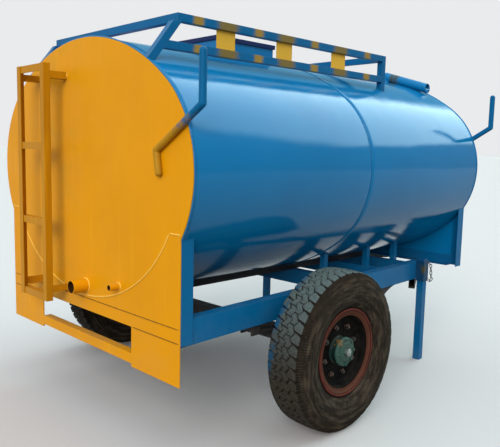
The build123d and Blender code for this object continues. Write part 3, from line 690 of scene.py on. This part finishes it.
def skinCourse(name, node, stations, mouth, tank):
    # point = the oval's point at each station, moved in along its normal by a wave: a sine times a cosine
    loop, normal = ovalLoop(tank, mouth["halfWidth"])
    x = stations[:, None]
    bend = np.arctan2(loop[:, 1] - tank["centerZ"], loop[:, 0])[None, :]
    wave = 0.5 + 0.5 * np.sin(7.0 * x + 2.0 * np.sin(3 * bend)) * np.cos(5 * bend + 1.3 * x)
    flat = loop[None, :, :] - tank["wave"] * wave[:, :, None] * normal[None, :, :]
    points = np.concatenate([np.broadcast_to(x[:, :, None], flat.shape[:2] + (1,)), flat], axis=2)
    verts, faces = gridPatch(points, wrapCols=True)
    middle = verts[faces].mean(axis=1)
    inMouth = (
        (middle[:, 0] > mouth["low"]) & (middle[:, 0] < mouth["high"])
        & (np.abs(middle[:, 1]) < mouth["halfWidth"]) & (middle[:, 2] > tank["centerZ"])
    )
    piece = putPiece(name, [(verts, faces[~inMouth])], tankBlue, "trailer", 60.0)
    wall = piece.modifiers.new("plateWall", "SOLIDIFY")
    wall.thickness = tank["wall"]
    wall.offset = -1.0
    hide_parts(node)


neckLow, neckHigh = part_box("hatch_neck")
mouthSet = {"low": neckLow[0] + 0.005, "high": neckHigh[0] - 0.005, "halfWidth": neckHigh[1] - 0.005}
rearLow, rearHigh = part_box("tank_shell_rear")
frontLow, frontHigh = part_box("tank_shell_front")
rearStations = np.concatenate([
    evenSteps(rearLow[0], mouthSet["low"], 26),
    evenSteps(mouthSet["low"], mouthSet["high"], 20),
    np.linspace(mouthSet["high"], rearHigh[0], 8),
])
skinCourse("tankSkinRear", "tank_shell_rear", rearStations, mouthSet, tankSet)
skinCourse("tankSkinFront", "tank_shell_front", np.linspace(frontLow[0], frontHigh[0], 50), mouthSet, tankSet)
print("tank skin made")


# welds: round beads that swell and thin along their run
weldSet = {
    "seam": 0.0045, "plate": 0.0042, "back": 0.0040, "thin": 0.0035, "skirt": 0.0030,
    "swing": 0.18, "ripple": 160.0, "slowRipple": 31.0,
}
arcSet = {"halfWidth": 0.847, "halfHeight": 0.709, "tickZ": 1.149, "edge": 0.863, "steps": 260}
footSet = {
    "overflowY": -0.160, "overflowRadius": 0.0375, "postInset": 0.020, "postHalf": 0.021, "postPower": 0.2,
    "neckGap": 0.001, "neckPower": 0.12, "bracket": 0.030,
}
plateLow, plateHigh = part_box("rear_end_plate")
stripLow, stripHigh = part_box("rear_skirt_strip")
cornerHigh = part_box("rear_corner_plates")[1]
bracketLow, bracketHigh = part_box("ladder_brackets")
pipeLow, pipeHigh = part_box("overflow_pipe")
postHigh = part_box("rack_posts")[1]
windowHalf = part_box("rear_skirt_bar")[1][1]
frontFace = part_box("front_end_plate")[1][0]
rearFace = plateLow[0]
alongX = np.array([1.0, 0.0, 0.0])
alongY = np.array([0.0, 1.0, 0.0])
alongZ = np.array([0.0, 0.0, 1.0])


def weldBead(path, radius, guide, closed=False):
    # bead radius = radius * (1 + swing * a quick sine * a slow cosine of the place), to a point at open ends
    place = np.linspace(0, 1, len(path))
    ripple = np.sin(weldSet["ripple"] * place) * np.cos(weldSet["slowRipple"] * place)
    size = radius * (1 + weldSet["swing"] * ripple)
    if not closed:
        size = size * np.clip(np.minimum(place, 1 - place) * len(path) / 3, 0, 1)
    return carriedRound(path, size, guide, closed)


def ovalWeld(x, inset, radius):
    # a bead round the tank's oval, drawn in by the inset
    loop = ovalLoop(dict(tankSet, sideSteps=90, bellySteps=120, crownSteps=50), 0.2, inset)[0]
    return weldBead(np.concatenate([np.full((len(loop), 1), x), loop], axis=1), radius, alongX, True)


def crownWeld(centerX, centerY, halfX, halfY, power, radius):
    # a closed loop about a foot on the crown: round for power 1, nearly square for a small power
    turn = fullTurn(96)
    x = centerX + halfX * np.sign(np.cos(turn)) * np.abs(np.cos(turn)) ** power
    y = centerY + halfY * np.sign(np.sin(turn)) * np.abs(np.sin(turn)) ** power
    return weldBead(np.stack([x, y, crownHeight(y, tankSet)], axis=1), radius, alongZ, True)


def plateBead(start, end, count, radius):
    # a straight bead on the rear plate between two places (y, z)
    return weldBead(np.linspace((rearFace,) + start, (rearFace,) + end, count), radius, alongX)


def plateRing(stub):
    # a round bead on the rear plate: point = the stub's center + radius * (cos, sin) of the turn
    turn = fullTurn(60)
    y = stub["Y"] + stub["outside"] * np.cos(turn)
    z = stub["Z"] + stub["outside"] * np.sin(turn)
    path = np.stack([np.full_like(turn, rearFace), y, z], axis=1)
    return weldBead(path, weldSet["plate"], alongX, True)


neckHalf = (neckHigh[0] - neckLow[0]) / 2 + footSet["neckGap"]
pipeFoot = footSet["overflowRadius"]
blueWelds = [
    ovalWeld(frontLow[0], 0.0015, weldSet["seam"]),
    ovalWeld(frontHigh[0], 0.002, weldSet["thin"]),
    ovalWeld(plateHigh[0] + 0.002, -0.002, weldSet["back"]),
    crownWeld((neckLow[0] + neckHigh[0]) / 2, 0.0, neckHalf, neckHigh[1] + footSet["neckGap"],
              footSet["neckPower"], weldSet["seam"]),
    crownWeld((pipeLow[0] + pipeHigh[0]) / 2, footSet["overflowY"], pipeFoot, pipeFoot, 1.0, weldSet["back"]),
]
for hand in (-1, 1):
    blueWelds.append(crownWeld(
        postHigh[0] - footSet["postInset"], hand * (postHigh[1] - footSet["postInset"]),
        footSet["postHalf"], footSet["postHalf"], footSet["postPower"], weldSet["thin"],
    ))
putPiece("tankSeamWelds", blueWelds, tankBlue, "trailer", 60.0)

# arc on each end plate: half width times sin and half height times cos of the angle, with a tick at each end
swing = np.arccos((tankSet["centerZ"] - arcSet["tickZ"]) / arcSet["halfHeight"])
arcAngle = np.linspace(-swing, swing, arcSet["steps"])
arcPath = np.stack([
    np.full_like(arcAngle, rearFace),
    arcSet["halfWidth"] * np.sin(arcAngle),
    tankSet["centerZ"] - arcSet["halfHeight"] * np.cos(arcAngle),
], axis=1)
tickStart = arcSet["halfWidth"] * np.sin(swing)
tickZ = arcSet["tickZ"]
plateWelds = [weldBead(arcPath, weldSet["plate"], alongX)]
# dark beads along the skirt strip: painted shade for the gaps at its seams
skirtGapShadeBeads = [plateBead((stripLow[1], stripHigh[2]), (stripHigh[1], stripHigh[2]), 140, weldSet["skirt"])]
for hand in (-1, 1):
    plateWelds.append(plateBead(
        (hand * tickStart, tickZ), (hand * arcSet["edge"], tickZ), 20, weldSet["plate"],
    ))
    skirtGapShadeBeads.append(plateBead(
        (hand * windowHalf, cornerHigh[2]), (hand * cornerHigh[1], cornerHigh[2]), 50, weldSet["skirt"],
    ))
plateWelds.extend(plateRing(stub) for stub in (outletStub, drainStub))
for bracketY in (bracketLow[1], bracketHigh[1]):
    for bracketZ in (bracketLow[2], bracketHigh[2] - footSet["bracket"]):
        bracketTop = (bracketY, bracketZ + footSet["bracket"])
        plateWelds.append(plateBead((bracketY, bracketZ), bracketTop, 16, weldSet["thin"]))
putPiece("rearPlateWelds", plateWelds, weldYellow, "trailer", 60.0)
putPiece("skirtGapShadeBeads", skirtGapShadeBeads, seamGapShade, "trailer", 60.0)
frontArc = weldBead(arcPath + (frontFace - rearFace) * alongX, weldSet["plate"], alongX)
putPiece("frontPlateWeld", [frontArc], tankBlue, "trailer", 60.0)
print("welds made")


# chains that hold the leg pins, from an eye on the sleeve to the pin's ring
chainSet = {
    "length": 0.036, "width": 0.022, "wire": 0.0029, "pitch": 0.0255, "roll": 35.0,
    "eyeDrop": 0.012, "eyeOut": 0.022, "eyeRadius": 0.009, "eyeWire": 0.0025, "pinInset": 0.007,
}


def linkPatch(chain):
    # two half circles: point = (r cos t, 0, r sin t), moved up or down by half the straight side
    turn = fullTurn(24) + 0.02
    half = chain["width"] / 2 - chain["wire"]
    straight = chain["length"] / 2 - chain["wire"] - half
    height = half * np.sin(turn) + straight * np.sign(np.sin(turn))
    loop = np.stack([half * np.cos(turn), 0 * turn, height], axis=1)
    return carriedRound(loop, chain["wire"], alongY, True)


def chainLinks(line, chain):
    # links at even steps along the line, each turned a quarter from the last
    count = int(round(lengthsAlong(line)[-1] / chain["pitch"])) + 1
    places = softLine(line, count, 0)
    tangent = unitRows(np.gradient(places, axis=0))
    across = unitRows(np.cross(tangent, alongY))
    flat = np.cross(tangent, across)
    roll = np.radians(chain["roll"] + 90.0 * np.arange(count))[:, None]
    first = np.cos(roll) * across + np.sin(roll) * flat
    second = np.cross(tangent, first)
    return placedCopies(linkPatch(chain), np.stack([first, second, tangent], axis=2), places)


def eyeRing(center, chain):
    # a small ring: center + radius * (cos, 0, sin) of the turn
    turn = fullTurn(24)
    ring = np.stack([np.cos(turn), 0 * turn, np.sin(turn)], axis=1)
    return carriedRound(center + chain["eyeRadius"] * ring, chain["eyeWire"], alongY, True)


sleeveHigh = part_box("leg_sleeves")[1]
pinLow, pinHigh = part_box("leg_pins")
legY = (pinHigh[1] + abs(pinLow[1])) / 2 - chainSet["pinInset"]
eyeX = sleeveHigh[0] + 0.004
eyeZ = sleeveHigh[2] - chainSet["eyeDrop"]
chains = []
for side in (-1, 1):
    # out from the eye, down in a slack bow and up to the pin's ring
    top = np.array([eyeX, side * (legY + chainSet["eyeOut"]), eyeZ])
    line = softLine((
        top,
        top + (0.036, side * 0.006, -0.022),
        (eyeX + 0.052, side * (legY + 0.030), pinLow[2] - 0.048),
        (eyeX + 0.040, side * (legY + 0.014), pinLow[2] - 0.050),
        (pinHigh[0] - 0.020, side * legY, pinLow[2] + 0.004),
    ), 80, 10)
    chains.append(chainLinks(line, chainSet))
    chains.append(eyeRing(top, chainSet))
putPiece("pinChains", chains, chainSteel, "trailer", 60.0)
print("chains made")


# tyres: a rounded section carried round the axle, with blocks and grooves cut by a height function
tyreSet = {
    "pitches": 46, "perPitch": 20, "depth": 0.0105, "treadHalf": 0.092, "grooveAt": 0.44, "grooveHalf": 0.040,
    "zig": 0.125, "middleHalf": 0.026, "soft": 0.025, "middleSoft": 0.022,
    "crossHalf": 0.052, "crossSoft": 0.040, "crossSlant": 0.55, "shoulderOpen": 0.9,
    "innerHalf": 0.030, "innerSoft": 0.035, "innerSlant": 0.35,
    "rib": 0.0024, "ribsPerPitch": 4, "plainBelow": 0.255, "ringWidth": 0.0035,
    "rings": ((0.372, 0.0014), (0.300, 0.0012), (0.272, 0.0018)),
    "wallSection": (
        (0.080, 0.2035), (0.080, 0.244), (0.086, 0.2485), (0.103, 0.268), (0.1205, 0.303), (0.1265, 0.340),
        (0.1235, 0.378), (0.1145, 0.408), (0.1035, 0.4285), (0.0945, 0.4385), (0.0915, 0.4420),
    ),
    "treadSection": ((0.0915, 0.4420), (0.0880, 0.4445), (0.0560, 0.4480), (0.0, 0.4495)),
    "innerSection": (
        (-0.066, 0.2035), (-0.10, 0.33), (-0.07, 0.415), (0.07, 0.415), (0.10, 0.33), (0.066, 0.2035),
    ),
}


def triangleWave(value):
    # between -1 and 1, once for each whole step of the value
    return 4 * np.abs(value - np.floor(value) - 0.5) - 1


def groove(distance, half, soft):
    # 1 at the middle of a groove, 0 past its edge
    edge = np.clip((np.abs(distance) - half) / soft, 0, 1)
    return 1 - edge * edge * (3 - 2 * edge)


def nearest(value):
    # signed distance from the nearest whole number
    return value - np.round(value)


def tyreHeights(turn, offset, radius, tyre):
    # four columns of blocks: two zigzag grooves, a narrow middle one and slanted grooves across each column
    # height = minus the depth in a groove, plus a sine for the wall's ribs and a bell curve for each ring
    u = turn * tyre["pitches"] / (2 * np.pi)
    v = offset / tyre["treadHalf"]
    size = np.abs(v)
    hand = np.sign(v)
    zig = tyre["zig"] * triangleWave(u)
    cut = groove(v - tyre["grooveAt"] - zig, tyre["grooveHalf"], tyre["soft"])
    cut = np.maximum(cut, groove(v + tyre["grooveAt"] - zig, tyre["grooveHalf"], tyre["soft"]))
    cut = np.maximum(cut, groove(v - zig, tyre["middleHalf"], tyre["middleSoft"]))
    # cross grooves open towards the shoulder
    crossHalf = tyre["crossHalf"] * (1 + tyre["shoulderOpen"] * np.clip((size - 0.70) / 0.35, 0, 1))
    outerPlace = nearest(u + 0.25 * hand - tyre["crossSlant"] * hand * (size - 0.4))
    innerPlace = nearest(u + 0.25 * hand + 0.5 - tyre["innerSlant"] * v)
    outerCross = groove(outerPlace, crossHalf, tyre["crossSoft"])
    innerCross = groove(innerPlace, tyre["innerHalf"], tyre["innerSoft"])
    cut = np.maximum(cut, np.where(hand * v > tyre["grooveAt"] + hand * zig, outerCross, innerCross))
    onTread = np.clip((radius - 0.416) / 0.014, 0, 1)
    height = -tyre["depth"] * cut * onTread
    wall = np.clip((radius - 0.384) / 0.016, 0, 1) * np.clip((0.440 - radius) / 0.005, 0, 1)
    height = height + tyre["rib"] * wall * np.sin(2 * np.pi * tyre["ribsPerPitch"] * u)
    for ringRadius, ringHeight in tyre["rings"]:
        height = height + ringHeight * np.exp(-((radius - ringRadius) / tyre["ringWidth"]) ** 2)
    return height


def aboutAxle(turn, offset, radius, side):
    # point = axle + offset along Y and radius times (cos, sin) of the turn
    x = wheelSet["x"] + radius * np.cos(turn)
    z = wheelSet["z"] + radius * np.sin(turn)
    return np.stack(np.broadcast_arrays(x, side * (wheelSet["mid"] + offset), z), axis=-1)


def makeTyre(side, word, tyre):
    # outer section from bead to bead and back inside, moved along its normal by the block heights
    half = np.concatenate([softLine(tyre["wallSection"], 21, 1)[:-1], softLine(tyre["treadSection"], 26, 0)])
    closing = softLine(tyre["innerSection"], 12, 1)
    line = np.concatenate([half, (half * (-1, 1))[::-1][1:], closing])
    tangent = np.roll(line, -1, axis=0) - np.roll(line, 1, axis=0)
    normal = unitRows(np.stack([tangent[:, 1], -tangent[:, 0]], axis=1))
    normal = normal * np.sign(normal[len(half) - 1, 1])
    turn = fullTurn(tyre["pitches"] * tyre["perPitch"])[:, None]
    height = tyreHeights(turn, line[None, :, 0], line[None, :, 1], tyre)
    inside = np.arange(len(line)) >= len(line) - len(closing)
    height = np.where(inside[None, :] | (line[None, :, 1] < tyre["plainBelow"]), 0.0, height)
    offset = line[None, :, 0] + height * normal[None, :, 0]
    radius = line[None, :, 1] + height * normal[None, :, 1]
    patch = gridPatch(aboutAxle(turn, offset, radius, side), True, True)
    piece = putPiece("treadTyre." + word, [patch], rubber, "wheel_" + word, 50.0)
    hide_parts("tyre_" + word)


for side, word in ((1, "left"), (-1, "right")):
    makeTyre(side, word, tyreSet)
print("tyres made")


# rims and hubs: rounded sections turned about the axle
rimSet = {
    "section": (
        (0.030, 0.082), (0.030, 0.150), (0.032, 0.178), (0.040, 0.1895), (0.062, 0.1935), (0.0700, 0.1985),
        (0.0790, 0.2090), (0.0850, 0.2150), (0.0880, 0.2225), (0.0885, 0.2285), (0.0940, 0.2335),
        (0.0955, 0.2410), (0.0915, 0.2460), (0.0850, 0.2450), (0.0822, 0.2380), (0.0822, 0.2030),
        (-0.0822, 0.2030), (-0.0822, 0.2380), (-0.0850, 0.2450), (-0.0925, 0.2450), (-0.0940, 0.2350),
        (-0.0930, 0.1980), (-0.0880, 0.1960), (0.000, 0.1945), (0.0200, 0.1880), (0.0200, 0.082),
    ),
    "samples": 150, "steps": 160,
}
hubSet = {
    "section": (
        (-0.060, 0.031), (-0.060, 0.074), (-0.052, 0.080), (0.006, 0.080), (0.008, 0.163), (0.0195, 0.165),
        (0.0205, 0.084), (0.0300, 0.080), (0.036, 0.070), (0.060, 0.066), (0.064, 0.078), (0.067, 0.081),
        (0.080, 0.081), (0.083, 0.078), (0.084, 0.060), (0.086, 0.056), (0.091, 0.052), (0.0925, 0.046),
        (0.0925, 0.001),
    ),
    "back": ((0.046, 0.001), (0.046, 0.0295)), "samples": 130, "steps": 128,
    "lobes": 8, "lobe": 0.0010, "lobeFrom": 0.062, "lobeTo": 0.0835, "lobeRadius": 0.07,
}
nutSet = {
    "wheelNuts": {
        "count": 8, "circle": 0.1375, "phase": 0.35, "offset": 0.0298,
        "radius": 0.0165, "height": 0.016, "hole": 0.0095, "stud": 0.0095, "studHeight": 0.023,
    },
    "axleNut": {
        "count": 1, "circle": 0.0, "phase": 0.0, "offset": 0.0915,
        "radius": 0.024, "height": 0.0145, "hole": 0.010, "stud": 0.010, "studHeight": 0.0155,
    },
    "capNuts": {
        "count": 8, "circle": 0.070, "phase": 0.0, "offset": 0.0822,
        "radius": 0.0088, "height": 0.0085, "hole": 0.002, "stud": 0.0022, "studHeight": 0.0083,
    },
}


def turnedPatch(section, count, side, swell=None):
    # the section turned about the axle; swell adds lobes to the radius
    turn = fullTurn(count)[:, None]
    offset = section[None, :, 0]
    radius = section[None, :, 1]
    if swell is not None:
        radius = radius + swell(turn, offset, radius)
    return gridPatch(aboutAxle(turn, offset, radius, side), True, True)


def capLobes(turn, offset, radius):
    # a slight wave round the cap's edge
    onCap = (offset > hubSet["lobeFrom"]) & (offset < hubSet["lobeTo"]) & (radius > hubSet["lobeRadius"])
    return np.where(onCap, hubSet["lobe"] * np.cos(hubSet["lobes"] * turn), 0.0)


def hexNut(nut):
    # six flats: the radius at each angle reaches the flat's line; the top edge is drawn in a little
    angle = fullTurn(36)[:, None]
    flat = nut["radius"] * np.cos(np.pi / 6) / np.cos(np.mod(angle, np.pi / 3) - np.pi / 6)
    top = nut["height"]
    inner = nut["hole"] / nut["radius"]
    levels = np.array([0.0, 0.88 * top, top, top, 0.0])[None, :]
    share = np.array([1.0, 1.0, 0.88, inner, inner])[None, :]
    size = np.where(share > 0.5, flat * share, nut["radius"] * share)
    levels = np.broadcast_to(levels, size.shape)
    return gridPatch(np.stack([size * np.cos(angle), levels, size * np.sin(angle)], axis=2), True, True)


def studEnd(nut):
    # a round stud with a small chamfer, closed at both ends
    angle = fullTurn(16)[:, None]
    top = nut["studHeight"]
    size = nut["stud"] * np.array([0.0, 1.0, 1.0, 0.8, 0.0])[None, :] + 0 * angle
    levels = np.broadcast_to(np.array([0.0, 0.0, top - 0.002, top, top])[None, :], size.shape)
    return gridPatch(np.stack([size * np.cos(angle), levels, size * np.sin(angle)], axis=2), True, False)


def nutRing(nut, side):
    # nuts and stud ends at even steps on a circle about the axle
    angle = (np.arange(nut["count"]) + nut["phase"]) * 2 * np.pi / nut["count"]
    places = aboutAxle(angle, nut["offset"], nut["circle"], side)
    turns = np.broadcast_to(np.diag([1.0, side, 1.0]), (nut["count"], 3, 3))
    return [placedCopies(hexNut(nut), turns, places), placedCopies(studEnd(nut), turns, places)]


def makeWheelMetal(side, word):
    body = "wheel_" + word
    rimLine = softLine(rimSet["section"] + rimSet["section"][:1], rimSet["samples"], 1)[:-1]
    rimPatch = turnedPatch(rimLine, rimSet["steps"], side)
    rim = putPiece("steelRim." + word, [rimPatch], rimRed, body, 30.0)
    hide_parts("rim_" + word)
    hubLine = np.concatenate([softLine(hubSet["section"], hubSet["samples"], 1), np.array(hubSet["back"])])
    hubPatch = turnedPatch(hubLine, hubSet["steps"], side, capLobes)
    hub = putPiece("hubBody." + word, [hubPatch], hubGreen, body, 30.0)
    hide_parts("hub_" + word)
    for name, finish, slotName in (
        ("wheelNuts", nutSteel, "bright_steel"), ("axleNut", hubSteel, "bright_steel"),
        ("capNuts", hubGreen, "hub_green"),
    ):
        putPiece(name + "." + word, nutRing(nutSet[name], side), finish, body, 30.0)


for side, word in ((1, "left"), (-1, "right")):
    makeWheelMetal(side, word)
print("rims and hubs made")


# floor and light
lightSet = {
    "floor": (0.55, 0.515, 0.495), "floorBounce": (0.14, 0.135, 0.13),
    "floorHalf": 400.0, "horizon": (0.82, 0.83, 0.84), "zenith": (1.06, 1.18, 1.26), "skyRise": (0.18, 0.80),
    "ground": (0.60, 0.60, 0.60), "shadeSide": (0.44, 0.45, 0.46), "shadeTurn": (0.55, 1.05),
    "aheadLeft": (0.20, 0.42, 0.52), "leftTurn": (0.60, 0.95), "leftRise": (0.25, 0.31),
    "key": {"place": (-8.0, -5.0, 5.5), "spread": 0.6, "power": 2.08},
}
panelSet = {
    "color": (3.20, 4.40, 4.60), "skyline": 0.28, "climbFrom": -0.60, "climb": 1.3, "foot": (-0.012, 0.020),
    "slant": 0.62, "slantEdge": (0.068, 0.100), "ahead": (0.25, 0.55), "top": (0.76, 0.86),
}


def makeFloor(look):
    # pale where it is seen or mirrored, darker for the light that it throws back
    half = look["floorHalf"]
    corners = [(-half, -half, 0), (half, -half, 0), (half, half, 0), (-half, half, 0)]
    mesh = bpy.data.meshes.new("floor")
    mesh.from_pydata(corners, [], [(0, 1, 2, 3)])
    floor = bpy.data.objects.new("floor", mesh)
    scene.collection.objects.link(floor)
    material, tree, skin = startFinish("paleFloor")
    path = tree.nodes.new("ShaderNodeLightPath")
    seen = reckon(tree, "MAXIMUM", path.outputs["Is Camera Ray"], path.outputs["Is Glossy Ray"])
    seen = reckon(tree, "MAXIMUM", seen, path.outputs["Is Transmission Ray"])
    tree.links.new(mixed(tree, seen, look["floorBounce"], look["floor"]), skin.inputs["Base Color"])
    skin.inputs["Roughness"].default_value = 0.9
    skin.inputs["Specular IOR Level"].default_value = 0.1
    mesh.materials.append(material)


def makeLight(name, look):
    data = bpy.data.lights.new(name, "SUN")
    data.energy = look["power"]
    data.angle = look["spread"]
    lamp = bpy.data.objects.new(name, data)
    place = Vector(look["place"])
    lamp.location = place
    lamp.rotation_euler = (Vector((0.0, 0.0, 1.0)) - place).to_track_quat("-Z", "Y").to_euler()
    scene.collection.objects.link(lamp)


def softPanel(tree, x, y, height, panel):
    # panel ahead and right: over a skyline that climbs to the right, with a slanted left edge
    ratio = reckon(tree, "DIVIDE", y, reckon(tree, "MAXIMUM", x, 0.05))
    climb = reckon(tree, "MAXIMUM", reckon(tree, "SUBTRACT", panel["climbFrom"], ratio), 0.0)
    edge = reckon(tree, "ADD", times(tree, climb, panel["climb"]), panel["skyline"])
    foot = span(tree, reckon(tree, "SUBTRACT", height, edge), *panel["foot"])
    slant = reckon(tree, "SUBTRACT", times(tree, height, panel["slant"]), y)
    top = span(tree, height, *panel["top"], 1.0, 0.0)
    return times(tree, foot, span(tree, slant, *panel["slantEdge"]), span(tree, x, *panel["ahead"]), top)


def makeSky(look, panel):
    # colours by direction: horizon to zenith, shade to the right, a tint ahead and left, and the panel
    world = bpy.data.worlds.new("softSky")
    scene.world = world
    world.use_nodes = True
    tree = world.node_tree
    x, y, height = (axisValue(tree, axis, output="Generated") for axis in "XYZ")
    toSide = reckon(tree, "SUBTRACT", x, y)  # grows towards front and right
    toLeft = reckon(tree, "ADD", x, times(tree, y, 0.5))
    tinted = times(tree, span(tree, toLeft, *look["leftTurn"]), span(tree, height, *look["leftRise"]))
    color = layered(
        tree, look["horizon"],
        (span(tree, toSide, *look["shadeTurn"]), look["shadeSide"]),
        (span(tree, height, *look["skyRise"]), look["zenith"]),
        (tinted, look["aheadLeft"]),
        (softPanel(tree, x, y, height, panel), panel["color"]),
    )
    color = mixed(tree, span(tree, height, -0.05, 0.0), look["ground"], color)
    tree.links.new(color, tree.nodes["Background"].inputs["Color"])


makeFloor(lightSet)
makeSky(lightSet, panelSet)
makeLight("keyLight", lightSet["key"])
scene.view_settings.view_transform = "Standard"
print("light set")
